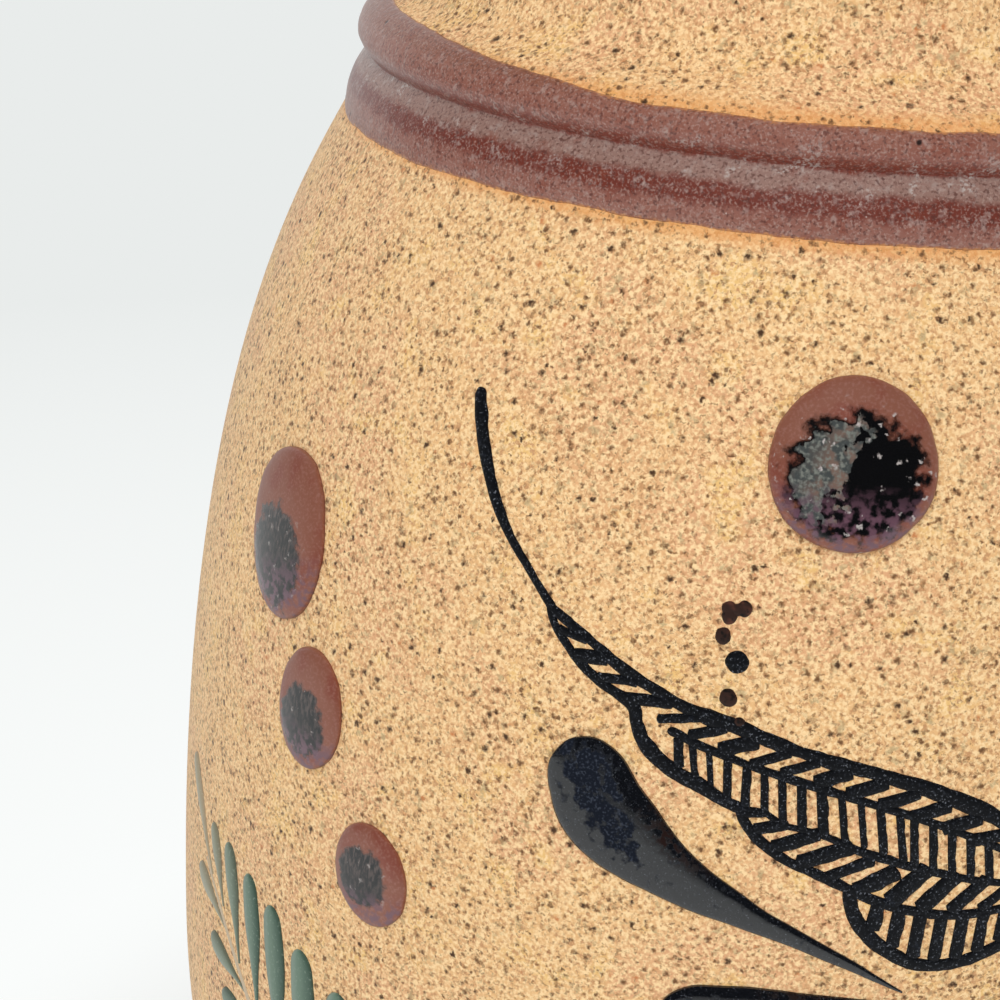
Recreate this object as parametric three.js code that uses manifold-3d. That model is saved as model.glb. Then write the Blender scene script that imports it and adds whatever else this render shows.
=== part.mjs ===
// A thrown stoneware vase: a full body, a double ridge where the neck is luted on, a flared
// mouth, and raised glaze laid on the clay as a band, drops, brushed leaves and sprigs.
// Millimetres, +Z up. The vase stands on z = 0 with its axis on Z. The painted group that the
// eye meets first faces -Y.

import * as THREE from 'three';
import { mergeVertices } from 'three/addons/utils/BufferGeometryUtils.js';
import Module from 'manifold-3d';

const wasm = await Module();
wasm.setup();

// Body: foot, belly and shoulder
const footRadius = 46;
const footHeight = 6;
const footEdge = 1.2;
const footRingWidth = 9;
const footRecess = 3;
const footLean = 52;
const footHandle = 30;
const bellyRadius = 78.5;
const bellyHeight = 86.4;
const bellyLowerHandle = 40;
const bellyUpperHandle = 76.2;
const shoulderRadius = 58;
const shoulderHeight = 197;
const shoulderLean = 27;
const shoulderHandle = 13.2;
const bodyWall = 6;
const floorThickness = 8;
const floorCorner = 16;

// Double ridge at the joint: the body's lower ridge, the groove, and the neck's cordon over it
const ridgeRadius = 57.5;
const ridgeRise = 2.4;
const grooveRadius = 55.7;
const grooveRise = 5.3;
const cordonRadius = 56.8;
const cordonRise = 8.4;
const cordonTopRadius = 53.6;
const cordonTopRise = 12.4;

// Neck and mouth
const neckHeight = 43;
const neckWall = 5;
const waistRadius = 48.5;
const waistRise = 24;
const waistHandle = 9;
const mouthRadius = 56;
const mouthLean = 38;
const mouthHandle = 11;
const lipRadius = 3;

// Glaze: the gap that keeps it clear of the clay, and how thick each kind lies
const glazeGap = 0.3;
const bandGlaze = 0.6;
const rimGlaze = 0.6;
const rimGlazeDepth = 9;
const linerGlaze = 0.6;
const linerBelowLip = 14;
const leafGlaze = 0.9;
const sprigSlip = 0.5;
const dropEdge = 0.3;

// The painted group is repeated evenly round the body. It hangs down from the ridge to the
// foot of the sprig, and its brushed strokes reach to either side of their own middle
const groupCount = 3;
const groupFall = 120;
const groupReach = 25;

// Glaze drops: turn about the axis and tilt in degrees, shares of the fall, the width, the rise
const dropWidth = 16.8;
const dropRise = 1.7;
const dropShares = [
  { name: 'drop_large', turn: -85, tilt: 0, below: 0.158, width: 0.99, height: 1, rise: 1 },
  { name: 'drop_upper', turn: -137.5, tilt: 16, below: 0.342, width: 0.88, height: 1.143, rise: 0.88 },
  { name: 'drop_middle', turn: -130.1, tilt: 0, below: 0.481, width: 0.655, height: 0.833, rise: 0.7 },
  { name: 'drop_lower', turn: -120.9, tilt: 8, below: 0.605, width: 0.62, height: 0.702, rise: 0.6 },
];

// Brushed leaves: the loaded brush is set down at the head and drawn out to the tip. Across
// is a share of the reach and below of the fall; the bow lifts the middle by a share of the reach
const brushHalfWidth = 5.1;
const brushLeafShares = [
  {
    name: 'brush_leaf_upper', turn: -92, bow: -0.112, halfWidth: 1,
    head: { across: -0.688, below: 0.417 }, tip: { across: 0.78, below: 0.59 },
  },
  {
    name: 'brush_leaf_lower', turn: -86, bow: 0.016, halfWidth: 0.94,
    head: { across: -0.496, below: 0.65 }, tip: { across: 1, below: 0.613 },
  },
];
const brushHeadShare = 0.21;
const brushTaper = 1.25;
const brushTailShare = 0.04;

// Sprig: a stem with a leaf at its end and pairs of leaves that lean forward along it
const sprigTurn = -136;
const sprigEndShares = { across: -0.584, below: 0.744 };
const sprigRootShares = { across: 0.96, below: 1 };
const sprigBow = 1.2;
const stemHalfWidth = 0.45;
const sprigPairs = 6;
const innerLeafLength = 23;
const outerLeafLength = 17;
const endLeafLength = 13;
const firstLeafLengthShare = 0.49;
const sprigLeafHalfWidth = 2.1;
const endLeafWidthShare = 0.5;
const firstLeafWidthShare = 0.6;
const leafLean = 34;
const leafHeadShare = 0.3;
const leafTaper = 1.1;
const leafTailShare = 0.12;
const leafOverrun = 0.8;
const firstPairShare = 0.12;
const lastPairShare = 0.9;

// Fineness of the surfaces
const turnSteps = 40;
const wallSteps = 8;
const ridgeSteps = 4;
const neckSteps = 4;
const lipSteps = 4;
const dropSteps = 14;
const brushStations = 10;
const stemStations = 16;
const leafStations = 5;
const headCrowding = 1.5;
const halvings = 30;

const jointHeight = shoulderHeight + grooveRise;
const jointInnerRadius = grooveRadius - bodyWall;
const lipCentreHeight = jointHeight + neckHeight - lipRadius;
const floorTop = footRecess + floorThickness;

// Finishes: speckled clay, iron glaze, its dark pools, black glaze, green slip, liner glaze
const clay = { color: 0xcfa878, roughness: 0.85, metalness: 0 };
const ironGlaze = { color: 0x6e3b36, roughness: 0.4, metalness: 0 };
const pooledGlaze = { color: 0x3a2422, roughness: 0.2, metalness: 0 };
const blackGlaze = { color: 0x1e2026, roughness: 0.25, metalness: 0 };
const greenSlip = { color: 0x5a7763, roughness: 0.5, metalness: 0 };
const linerFinish = { color: 0x8d5b40, roughness: 0.3, metalness: 0 };

const radians = THREE.MathUtils.degToRad;
const vase = new THREE.Group();

function addMesh(name, geometry, finish) {
  const mesh = new THREE.Mesh(geometry, new THREE.MeshStandardMaterial(finish));
  mesh.name = name;
  vase.add(mesh);
}

// A lathe turns its profile about Y, so the turned piece is stood up on Z
function turned(profile) {
  return new THREE.LatheGeometry(profile, turnSteps).rotateX(Math.PI / 2);
}

// Moves a profile sideways, to the right-hand side of the way that it runs
function offsetProfile(points, distance) {
  return points.map((point, i) => {
    const before = points[Math.max(i - 1, 0)];
    const after = points[Math.min(i + 1, points.length - 1)];
    const along = after.clone().sub(before).normalize();
    return new THREE.Vector2(point.x + along.y * distance, point.y - along.x * distance);
  });
}

// Where a rising curve passes a height, as its parameter
function passes(curve, height) {
  let low = 0;
  let high = 1;
  for (let i = 0; i < halvings; i += 1) {
    const middle = (low + high) / 2;
    if (curve.getPoint(middle).y < height) low = middle;
    else high = middle;
  }
  return low;
}

// Outside of the body: two curves that meet upright at the belly
const belly = new THREE.Vector2(bellyRadius, bellyHeight);
const footTop = new THREE.Vector2(footRadius, footHeight);
const shoulder = new THREE.Vector2(shoulderRadius, shoulderHeight);
const lowerWall = new THREE.CubicBezierCurve(
  footTop,
  new THREE.Vector2(
    footRadius + footHandle * Math.cos(radians(footLean)),
    footHeight + footHandle * Math.sin(radians(footLean)),
  ),
  new THREE.Vector2(bellyRadius, bellyHeight - bellyLowerHandle),
  belly,
);
const upperWall = new THREE.CubicBezierCurve(
  belly,
  new THREE.Vector2(bellyRadius, bellyHeight + bellyUpperHandle),
  new THREE.Vector2(
    shoulderRadius + shoulderHandle * Math.sin(radians(shoulderLean)),
    shoulderHeight - shoulderHandle * Math.cos(radians(shoulderLean)),
  ),
  shoulder,
);

// Lower ridge up to the groove, then the cordon from the groove up to its top edge
const grooveEdge = new THREE.Vector2(grooveRadius, jointHeight);
const cordonTop = new THREE.Vector2(cordonTopRadius, shoulderHeight + cordonTopRise);
const ridgeCurve = new THREE.SplineCurve([
  shoulder,
  new THREE.Vector2(ridgeRadius, shoulderHeight + ridgeRise),
  grooveEdge,
]);
const cordonCurve = new THREE.SplineCurve([
  grooveEdge,
  new THREE.Vector2(cordonRadius, shoulderHeight + cordonRise),
  cordonTop,
]);

// Outside of the neck: down from the cordon to the waist, then out to the mouth
const waist = new THREE.Vector2(waistRadius, shoulderHeight + waistRise);
const mouth = new THREE.Vector2(mouthRadius, lipCentreHeight);
const neckLower = new THREE.QuadraticBezierCurve(
  cordonTop,
  new THREE.Vector2(waistRadius, waist.y - waistHandle),
  waist,
);
const neckUpper = new THREE.CubicBezierCurve(
  waist,
  new THREE.Vector2(waistRadius, waist.y + waistHandle),
  new THREE.Vector2(
    mouthRadius - mouthHandle * Math.sin(radians(mouthLean)),
    lipCentreHeight - mouthHandle * Math.cos(radians(mouthLean)),
  ),
  mouth,
);

function bodyOutside() {
  return [
    ...lowerWall.getPoints(wallSteps),
    ...upperWall.getPoints(wallSteps).slice(1),
    ...ridgeCurve.getPoints(ridgeSteps).slice(1),
  ];
}

// Inside of the body, from the middle of the floor out and up to the joint. The hollow has a
// corner for every second one of the outside
function bodyInside() {
  const inner = offsetProfile(bodyOutside(), -bodyWall);
  const wallLine = inner.filter(
    (point, i) => i % 2 === 0
      && point.y > floorTop + floorCorner
      && point.y < shoulderHeight - bodyWall,
  );
  const corner = new THREE.QuadraticBezierCurve(
    new THREE.Vector2(footRadius - floorCorner, floorTop),
    new THREE.Vector2(footRadius, floorTop),
    wallLine[0],
  );
  return [
    new THREE.Vector2(0, floorTop),
    ...corner.getPoints(neckSteps),
    ...wallLine.slice(1),
    new THREE.Vector2(jointInnerRadius, jointHeight),
  ];
}

function bodyProfile() {
  const recessRadius = footRadius - footRingWidth;
  return [
    new THREE.Vector2(0, footRecess),
    new THREE.Vector2(recessRadius - footRecess, footRecess),
    new THREE.Vector2(recessRadius, 0),
    new THREE.Vector2(footRadius - footEdge, 0),
    new THREE.Vector2(footRadius, footEdge),
    ...bodyOutside(),
    ...bodyInside().reverse(),
  ];
}

function neckOutside() {
  return [
    ...cordonCurve.getPoints(ridgeSteps),
    ...neckLower.getPoints(neckSteps).slice(1),
    ...neckUpper.getPoints(neckSteps).slice(1),
  ];
}

function neckInside() {
  const inner = offsetProfile(neckOutside(), -neckWall);
  const top = lipCentreHeight - lipRadius;
  return [
    new THREE.Vector2(jointInnerRadius, jointHeight),
    ...inner.filter((point) => point.y > cordonTop.y && point.y < top),
  ];
}

// The lip is a round roll: half a turn over from the outside of the neck to the inside
function lipRoll() {
  return Array.from({ length: lipSteps + 1 }, (_, i) => {
    const angle = (i / lipSteps) * Math.PI;
    return new THREE.Vector2(
      mouthRadius - lipRadius + lipRadius * Math.cos(angle),
      lipCentreHeight + lipRadius * Math.sin(angle),
    );
  });
}

function neckProfile() {
  return [
    ...neckOutside(),
    ...lipRoll().slice(1),
    ...neckInside().reverse(),
    grooveEdge,
  ];
}

// A glaze skin along a line of clay: its outer face, then its inner face back to the start
function skinProfile(line, thickness) {
  const under = offsetProfile(line, glazeGap);
  const over = offsetProfile(line, glazeGap + thickness);
  return [under[0], ...over, ...under.reverse()];
}

function bandProfile() {
  const line = [
    ...ridgeCurve.getPoints(ridgeSteps),
    ...cordonCurve.getPoints(ridgeSteps).slice(1),
  ];
  return skinProfile(line, bandGlaze);
}

function rimProfile() {
  const start = passes(neckUpper, lipCentreHeight + lipRadius - rimGlazeDepth);
  const outside = Array.from(
    { length: neckSteps },
    (_, i) => neckUpper.getPoint(start + ((1 - start) * i) / neckSteps),
  );
  return skinProfile([...outside, ...lipRoll()], rimGlaze);
}

// The liner is a thin cup of glaze on the inside of the body and the neck
function linerProfile() {
  const line = [
    ...bodyInside(),
    ...neckInside().slice(1).filter((point) => point.y < mouth.y + lipRadius - linerBelowLip),
  ];
  const under = offsetProfile(line, -glazeGap);
  const over = offsetProfile(line, -glazeGap - linerGlaze);
  return [...under, ...over.reverse()];
}

// Radius of the body's outside, and how far its surface leans back, at a height
function wallAt(height) {
  const curve = height < bellyHeight ? lowerWall : upperWall;
  const at = passes(curve, height);
  const along = curve.getTangent(at);
  return { radius: curve.getPoint(at).x, lean: Math.atan2(-along.x, along.y) };
}

// A flat drawing laid on the wall: across runs round the body, up runs along its slope,
// and lift stands off the clay
function drawingOn(turn, height) {
  const place = wallAt(height);
  return (across, up, lift) => {
    const level = height + up * Math.cos(place.lean);
    const { radius, lean } = wallAt(level);
    const reach = radius + lift * Math.cos(lean);
    const angle = turn + across / place.radius;
    return new THREE.Vector3(
      reach * Math.cos(angle),
      reach * Math.sin(angle),
      level + lift * Math.sin(lean),
    );
  };
}

// A closed skin over rings of points, with one point at each end. Seen from the last point,
// the rings run anticlockwise
function ringSolid(first, rings, last) {
  const points = [first, ...rings.flat(), last];
  const count = rings[0].length;
  const end = points.length - 1;
  const at = (ring, i) => 1 + ring * count + (i % count);
  const faces = [];
  for (let i = 0; i < count; i += 1) {
    faces.push(0, at(0, i + 1), at(0, i));
    for (let ring = 0; ring + 1 < rings.length; ring += 1) {
      faces.push(at(ring, i), at(ring, i + 1), at(ring + 1, i + 1));
      faces.push(at(ring, i), at(ring + 1, i + 1), at(ring + 1, i));
    }
    faces.push(end, at(rings.length - 1, i), at(rings.length - 1, i + 1));
  }
  const geometry = new THREE.BufferGeometry().setFromPoints(points);
  geometry.setIndex(faces);
  geometry.computeVertexNormals();
  return geometry;
}

// A glaze drop: flat on the clay, a short steep edge, and a domed top
const dropRings = [
  { sizeShare: 0.55, edgeShare: 0, riseShare: 0 },
  { sizeShare: 1, edgeShare: 0, riseShare: 0 },
  { sizeShare: 1, edgeShare: 1, riseShare: 0 },
  { sizeShare: 0.84, edgeShare: 1, riseShare: 0.55 },
  { sizeShare: 0.48, edgeShare: 1, riseShare: 0.9 },
];

function dropSolid(shares, turn) {
  const place = drawingOn(turn, shoulderHeight - groupFall * shares.below);
  const tilt = radians(shares.tilt);
  const rise = dropRise * shares.rise;
  const ring = ({ sizeShare, edgeShare, riseShare }) => Array.from({ length: dropSteps }, (_, i) => {
    const angle = (i / dropSteps) * Math.PI * 2;
    const point = new THREE.Vector2(
      (sizeShare * dropWidth * shares.width * Math.cos(angle)) / 2,
      (sizeShare * dropWidth * shares.height * Math.sin(angle)) / 2,
    ).rotateAround(new THREE.Vector2(), tilt);
    return place(point.x, point.y, glazeGap + dropEdge * edgeShare + rise * riseShare);
  });
  const under = place(0, 0, glazeGap);
  const top = place(0, 0, glazeGap + dropEdge + rise);
  return ringSolid(under, dropRings.map(ring), top);
}

// Section across a brush stroke: left edge, middle of its underside, right edge, crown
const broadSection = [
  { widthShare: -1, riseShare: 0 },
  { widthShare: 0, riseShare: 0 },
  { widthShare: 1, riseShare: 0 },
  { widthShare: 0.6, riseShare: 0.8 },
  { widthShare: 0, riseShare: 1 },
  { widthShare: -0.6, riseShare: 0.8 },
];
const slenderSection = [
  { widthShare: -1, riseShare: 0 },
  { widthShare: 1, riseShare: 0 },
  { widthShare: 0, riseShare: 1 },
];

// Width of a stroke along its length: a round head, then a long taper to the tail
function strokeWidth(along, { headShare, taper, tailShare }) {
  if (along < headShare) return Math.sqrt(1 - ((headShare - along) / headShare) ** 2);
  return tailShare + (1 - tailShare) * ((1 - along) / (1 - headShare)) ** taper;
}

// A brush stroke along a curve drawn on the wall, with its stations crowded towards the head
function strokeSolid(place, curve, brush) {
  const { halfWidth, rise, stations, section } = brush;
  const station = (i) => {
    const along = (i / (stations + 1)) ** headCrowding;
    const middle = curve.getPoint(along);
    const forward = curve.getTangent(along);
    const width = halfWidth * strokeWidth(along, brush);
    const height = rise * Math.sqrt(width / halfWidth);
    return section.map(({ widthShare, riseShare }) => place(
      middle.x - forward.y * width * widthShare,
      middle.y + forward.x * width * widthShare,
      glazeGap + height * riseShare,
    ));
  };
  const rings = Array.from({ length: stations }, (_, i) => station(i + 1));
  const [head, tip] = [curve.getPoint(0), curve.getPoint(1)];
  return ringSolid(place(head.x, head.y, glazeGap), rings, place(tip.x, tip.y, glazeGap));
}

// A curve from one place to another whose middle is lifted by the bow
function bowed(from, to, bow) {
  const middle = new THREE.Vector2().addVectors(from, to).multiplyScalar(1 / 2);
  return new THREE.QuadraticBezierCurve(from, middle.add(new THREE.Vector2(0, bow * 2)), to);
}

// A curve in a drawing that starts at its first place's height, from shares of the group
function drawnCurve(from, to, bow) {
  const fall = groupFall * (to.below - from.below);
  return bowed(
    new THREE.Vector2(groupReach * from.across, 0),
    new THREE.Vector2(groupReach * to.across, -fall),
    bow,
  );
}

function brushLeafSolid(shares, turn) {
  const place = drawingOn(turn, shoulderHeight - groupFall * shares.head.below);
  const curve = drawnCurve(shares.head, shares.tip, groupReach * shares.bow);
  return strokeSolid(place, curve, {
    halfWidth: brushHalfWidth * shares.halfWidth,
    rise: leafGlaze,
    headShare: brushHeadShare,
    taper: brushTaper,
    tailShare: brushTailShare,
    stations: brushStations,
    section: broadSection,
  });
}

// Welds a mesh's shared corners and makes it a solid that can be joined
function toManifold(geometry) {
  const bare = geometry.clone();
  bare.deleteAttribute('normal');
  bare.deleteAttribute('uv');
  const welded = mergeVertices(bare);
  return new wasm.Manifold(new wasm.Mesh({
    numProp: 3,
    vertProperties: new Float32Array(welded.attributes.position.array),
    triVerts: new Uint32Array(welded.index.array),
  }));
}

function fromManifold(solid) {
  const { vertProperties, triVerts } = solid.getMesh();
  const geometry = new THREE.BufferGeometry();
  geometry.setAttribute('position', new THREE.BufferAttribute(vertProperties, 3));
  geometry.setIndex(new THREE.BufferAttribute(triVerts, 1));
  geometry.computeVertexNormals();
  return geometry;
}

// Leaves of the sprig: one at its end, and pairs that lengthen towards its root
function sprigLeaves(stem) {
  const { lerp } = THREE.MathUtils;
  const leaves = [{
    foot: stem.getPoint(0),
    way: stem.getTangent(0).negate(),
    length: endLeafLength,
    width: endLeafWidthShare,
  }];
  for (let pair = 0; pair < sprigPairs; pair += 1) {
    const share = pair / (sprigPairs - 1);
    const along = lerp(firstPairShare, lastPairShare, share);
    const grown = lerp(firstLeafLengthShare, 1, share * (2 - share));
    const width = lerp(firstLeafWidthShare, 1, share);
    const forward = stem.getTangent(along).negate();
    const foot = stem.getPoint(along);
    const turnBy = (angle) => forward.clone().rotateAround(new THREE.Vector2(), radians(angle));
    leaves.push({ foot, way: turnBy(-leafLean), length: innerLeafLength * grown, width });
    leaves.push({ foot, way: turnBy(leafLean), length: outerLeafLength * grown, width });
  }
  return leaves;
}

function sprigSolid(turn) {
  const place = drawingOn(turn, shoulderHeight - groupFall * sprigEndShares.below);
  const stem = drawnCurve(sprigEndShares, sprigRootShares, sprigBow);
  const stroke = (curve, halfWidth, stations) => toManifold(strokeSolid(place, curve, {
    halfWidth,
    rise: sprigSlip,
    headShare: leafHeadShare,
    taper: leafTaper,
    tailShare: leafTailShare,
    stations,
    section: slenderSection,
  }));
  const rootFirst = new THREE.QuadraticBezierCurve(stem.v2, stem.v1, stem.v0);
  const leaves = sprigLeaves(stem).map(({ foot, way, length, width }) => {
    const tip = foot.clone().addScaledVector(way, length);
    const tail = foot.clone().addScaledVector(way, -leafOverrun);
    return stroke(bowed(tip, tail, 0), sprigLeafHalfWidth * width, leafStations);
  });
  const bare = stroke(rootFirst, stemHalfWidth, stemStations);
  return fromManifold(leaves.reduce((whole, leaf) => whole.add(leaf), bare));
}

addMesh('thrown_body', turned(bodyProfile()), clay);
addMesh('thrown_neck', turned(neckProfile()), clay);
addMesh('ridge_glaze', turned(bandProfile()), ironGlaze);
addMesh('rim_glaze', turned(rimProfile()), ironGlaze);
addMesh('liner_glaze', turned(linerProfile()), linerFinish);

for (let group = 0; group < groupCount; group += 1) {
  const round = (turn) => radians(turn + (360 * group) / groupCount);
  const label = (name) => `${name}_${group + 1}`;
  dropShares.forEach((shares) => {
    addMesh(label(shares.name), dropSolid(shares, round(shares.turn)), pooledGlaze);
  });
  brushLeafShares.forEach((shares) => {
    addMesh(label(shares.name), brushLeafSolid(shares, round(shares.turn)), blackGlaze);
  });
  addMesh(label('sprig'), sprigSolid(round(sprigTurn)), greenSlip);
}

export default vase;
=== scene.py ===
import math
from functools import partial

import bmesh
import bpy
import numpy as np
from mathutils import Matrix, Vector


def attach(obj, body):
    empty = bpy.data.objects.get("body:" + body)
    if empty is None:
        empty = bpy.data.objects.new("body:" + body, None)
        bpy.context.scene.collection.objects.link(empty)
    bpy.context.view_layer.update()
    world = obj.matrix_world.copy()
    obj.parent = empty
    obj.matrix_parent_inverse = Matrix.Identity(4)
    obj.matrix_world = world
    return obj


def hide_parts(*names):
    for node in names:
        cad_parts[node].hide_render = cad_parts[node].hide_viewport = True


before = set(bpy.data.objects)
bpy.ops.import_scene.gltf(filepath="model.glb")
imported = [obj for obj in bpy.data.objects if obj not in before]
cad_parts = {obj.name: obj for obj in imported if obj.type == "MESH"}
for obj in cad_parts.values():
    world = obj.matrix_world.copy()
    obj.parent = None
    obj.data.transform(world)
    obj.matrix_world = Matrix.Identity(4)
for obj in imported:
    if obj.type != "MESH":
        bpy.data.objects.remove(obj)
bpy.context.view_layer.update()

# Speckled stoneware vase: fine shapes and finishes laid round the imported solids.
# Values are millimetres and degrees, and mm turns them into Blender's metres.
mm = 0.001
groupCount = 3      # the painted group goes round the vase this many times
weldReach = 0.004   # points of a seam or a pole that are nearer than this become one
print("frame loaded,", len(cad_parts), "nodes")


# Small helpers

def linearColour(hexText):
    parts = [int(hexText[i:i + 2], 16) / 255 for i in (1, 3, 5)]
    return [p / 12.92 if p <= 0.04045 else ((p + 0.055) / 1.055) ** 2.4 for p in parts] + [1]


def addNode(tree, kind, values=(), **settings):
    # adds a node, whose kind may end in its operation. Values go to its inputs in their order, or
    # by name or number in a dictionary, and a node among them stands for its first output
    kind, *operation = kind.split()
    starts = [s for s in ("ShaderNode", "GeometryNode", "") if hasattr(bpy.types, s + kind)]
    node = tree.nodes.new(starts[0] + kind)
    if operation:
        node.operation = operation[0]
    for name, setting in settings.items():
        setattr(node, name, setting)
    for key, value in values.items() if isinstance(values, dict) else enumerate(values):
        if isinstance(value, bpy.types.Node):
            value = value.outputs[0]
        if isinstance(value, bpy.types.NodeSocket):
            tree.links.new(value, node.inputs[key])
        else:
            node.inputs[key].default_value = value
    return node


def bezierLine(corners, steps):
    # a quadratic or cubic curve through its two ends, pulled by the corners between
    t = np.linspace(0, 1, steps + 1)[:, None]
    points = [np.array(corner, float)[None] for corner in corners]
    while len(points) > 1:
        points = [a + (b - a) * t for a, b in zip(points, points[1:])]
    return points[0]


def smoothLine(places, steps=12):
    # a soft line through places read off the pot, each stretch in equal steps
    p = np.array([places[0], *places, places[-1]], float)
    t = np.linspace(0, 1, steps, endpoint=False)[:, None]
    line = []
    for a, b, c, d in zip(p, p[1:], p[2:], p[3:]):
        v, w = (c - a) / 2, (d - b) / 2
        line.append((2 * b - 2 * c + v + w) * t ** 3 + (3 * c - 3 * b - 2 * v - w) * t ** 2 + v * t + b)
    return np.concatenate([*line, p[-1:]])


def lengthsAlong(line):
    return np.concatenate([[0], np.cumsum(np.linalg.norm(np.diff(line, axis=0), axis=1))])


def offsetLine(line, distance):
    # moves a line to the right-hand side of the way it runs
    way = np.gradient(line, axis=0)
    way /= np.linalg.norm(way, axis=1)[:, None]
    return line + np.stack([way[:, 1], -way[:, 0]], 1) * distance


def lineMesh(name, lines, closed=False, **fields):
    # a mesh of edges alone, with a number at each point for every named field
    mesh = bpy.data.meshes.new(name)
    points = np.concatenate(lines) * mm
    points = np.pad(points, ((0, 0), (0, 3 - points.shape[1])))
    edges, start = [], 0
    for line in lines:
        edges += [(start + i, start + i + 1) for i in range(len(line) - 1)]
        if closed:
            edges.append((start + len(line) - 1, start))
        start += len(line)
    mesh.from_pydata(points.tolist(), edges, [])
    for label, values in fields.items():
        writeField(mesh, label, np.concatenate(values))
    return mesh


def readField(mesh, label, size=1):
    out = np.zeros(len(mesh.vertices) * size, np.float32)
    mesh.attributes[label].data.foreach_get("value" if size == 1 else "vector", out)
    return out.reshape(-1, size) if size > 1 else out


def writeField(mesh, label, values):
    attribute = mesh.attributes.get(label) or mesh.attributes.new(label, "FLOAT", "POINT")
    attribute.data.foreach_set("value", values.astype(np.float32))


def movePoints(mesh, places):
    mesh.vertices.foreach_set("co", (places * mm).astype(np.float32).ravel())


def newTree(name, **inputs):
    # a Geometry Nodes tree with named inputs, the function that adds to it, and those inputs
    tree = bpy.data.node_groups.new(name, "GeometryNodeTree")
    for kind, labels in {"Geometry": "Geometry", **inputs}.items():
        for label in labels.split():
            tree.interface.new_socket(label, in_out="INPUT", socket_type="NodeSocket" + kind)
    tree.interface.new_socket("Geometry", in_out="OUTPUT", socket_type="NodeSocketGeometry")
    return tree, partial(addNode, tree), tree.nodes.new("NodeGroupInput").outputs


def endTree(add, shape, material):
    # closes seams and poles, and leaves one plain smooth mesh with its material
    shape = add("MergeByDistance", {"Geometry": shape, "Distance": weldReach * mm})
    shape = add("SetShadeSmooth", {"Geometry": shape})
    shape = add("RealizeInstances", {"Geometry": shape})
    add("NodeGroupOutput", [add("SetMaterial", {"Geometry": shape, "Material": material})])


def shapedBy(tree, name, mesh, values):
    # runs a tree on a mesh and keeps the result as a plain mesh
    piece = bpy.data.objects.new(name, mesh)
    bpy.context.scene.collection.objects.link(piece)
    modifier = piece.modifiers.new("shape", "NODES")
    modifier.node_group = tree
    for socket in tree.interface.items_tree:
        if socket.in_out == "INPUT" and socket.name in values:
            modifier[socket.identifier] = values[socket.name]
    seen = piece.evaluated_get(bpy.context.evaluated_depsgraph_get())
    shaped = bpy.data.meshes.new_from_object(seen)
    piece.modifiers.remove(modifier)
    piece.data = shaped
    shaped.name = name
    return piece


def finishPiece(piece, slotName, *nodes):
    # faces outwards, then the piece is given to the frame
    shell = bmesh.new()
    shell.from_mesh(piece.data)
    bmesh.ops.recalc_face_normals(shell, faces=shell.faces)
    shell.to_mesh(piece.data)
    shell.free()
    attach(piece, "root")
    if nodes:
        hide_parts(*nodes)
    print(piece.name, len(piece.data.polygons), "faces")


# Outlines of the clay, the same curves as the solids

body = {
    "foot": [(0, 3), (20, 3), (34, 3), (36, 1.6), (37, 0.5), (38, 0), (41, 0), (44, 0), (45.4, 0.5),
             (46, 1.6), (46, 3.6)],
    "lowerWall": [(46, 6), (64.47, 29.64), (78.5, 46.4), (78.5, 86.4)],
    "upperWall": [(78.5, 86.4), (78.5, 162.6), (63.993, 185.239), (58, 197)],
    "ridge": [(58, 197), (57.8, 198.6), (57.2, 200.3), (56.1, 202.0), (54.8, 203.3)],
    "wall": 6, "floorTop": 11, "hollowRadius": 30, "cornerPull": 46, "cornerTop": 27,
    "jointInner": (49.7, 203.3), "throwingRings": 0.22, "ringPitch": 8.5,
}
neck = {
    "cordon": [(54.8, 203.3), (55.9, 204.0), (56.6, 205.4), (56.2, 207.1), (55.0, 208.6),
               (53.2, 209.8)],
    "lower": [(53.2, 209.8), (48.5, 212.2), (48.5, 221)],
    "upper": [(48.5, 221), (48.5, 230), (49.228, 233.632), (56, 242.3)],
    "wall": 5, "lipRadius": 3, "lipCentre": (53, 242.3),
}
joint = {
    "level": 203.3, "reach": 6.0, "once": 0.15, "twice": 0.12,
    "glazed": [(58, 197), (57.8, 198.6), (57.2, 200.3), (56.35, 201.8), (55.6, 202.8),
               (55.45, 203.4), (56.0, 204.0), (56.45, 204.7), (56.7, 205.6), (56.25, 207.1),
               (55.0, 208.6), (53.2, 209.8)],
}
turning = {"turnSteps": 288, "wallSteps": 52, "ridgeSteps": 6, "neckSteps": 18, "cornerSteps": 12,
           "lipSteps": 14, "radius": 60, "lowerSamples": 3000, "upperSamples": 5000}

lowerWall, upperWall = (bezierLine(body[k], turning["wallSteps"]) for k in ("lowerWall", "upperWall"))
neckLower, neckUpper = (bezierLine(neck[k], turning["neckSteps"]) for k in ("lower", "upper"))
ridgeLine = smoothLine(body["ridge"], turning["ridgeSteps"])
cordonLine = smoothLine(neck["cordon"], turning["ridgeSteps"])
jointLine = smoothLine(joint["glazed"], 4)      # glaze settles in the groove and rounds it
bodyOutside = np.concatenate([lowerWall, upperWall[1:], ridgeLine[1:]])
neckOutside = np.concatenate([cordonLine, neckLower[1:], neckUpper[1:]])

bodyInner = offsetLine(bodyOutside, -body["wall"])
isWall = (bodyInner[:, 1] > body["cornerTop"]) & (bodyInner[:, 1] < body["ridge"][0][1] - 4)
bodyInner = bodyInner[isWall]
ringWave = body["throwingRings"] * np.cos(bodyInner[:, 1] / body["ringPitch"] * math.tau)
bodyInner[:, 0] += ringWave - body["throwingRings"]
corner = bezierLine([(body["hollowRadius"], body["floorTop"]), (body["cornerPull"], body["floorTop"]),
                     bodyInner[0]], turning["cornerSteps"])
bodyInside = np.concatenate([[(0, body["floorTop"])], corner, bodyInner[1:], [body["jointInner"]]])

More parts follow.
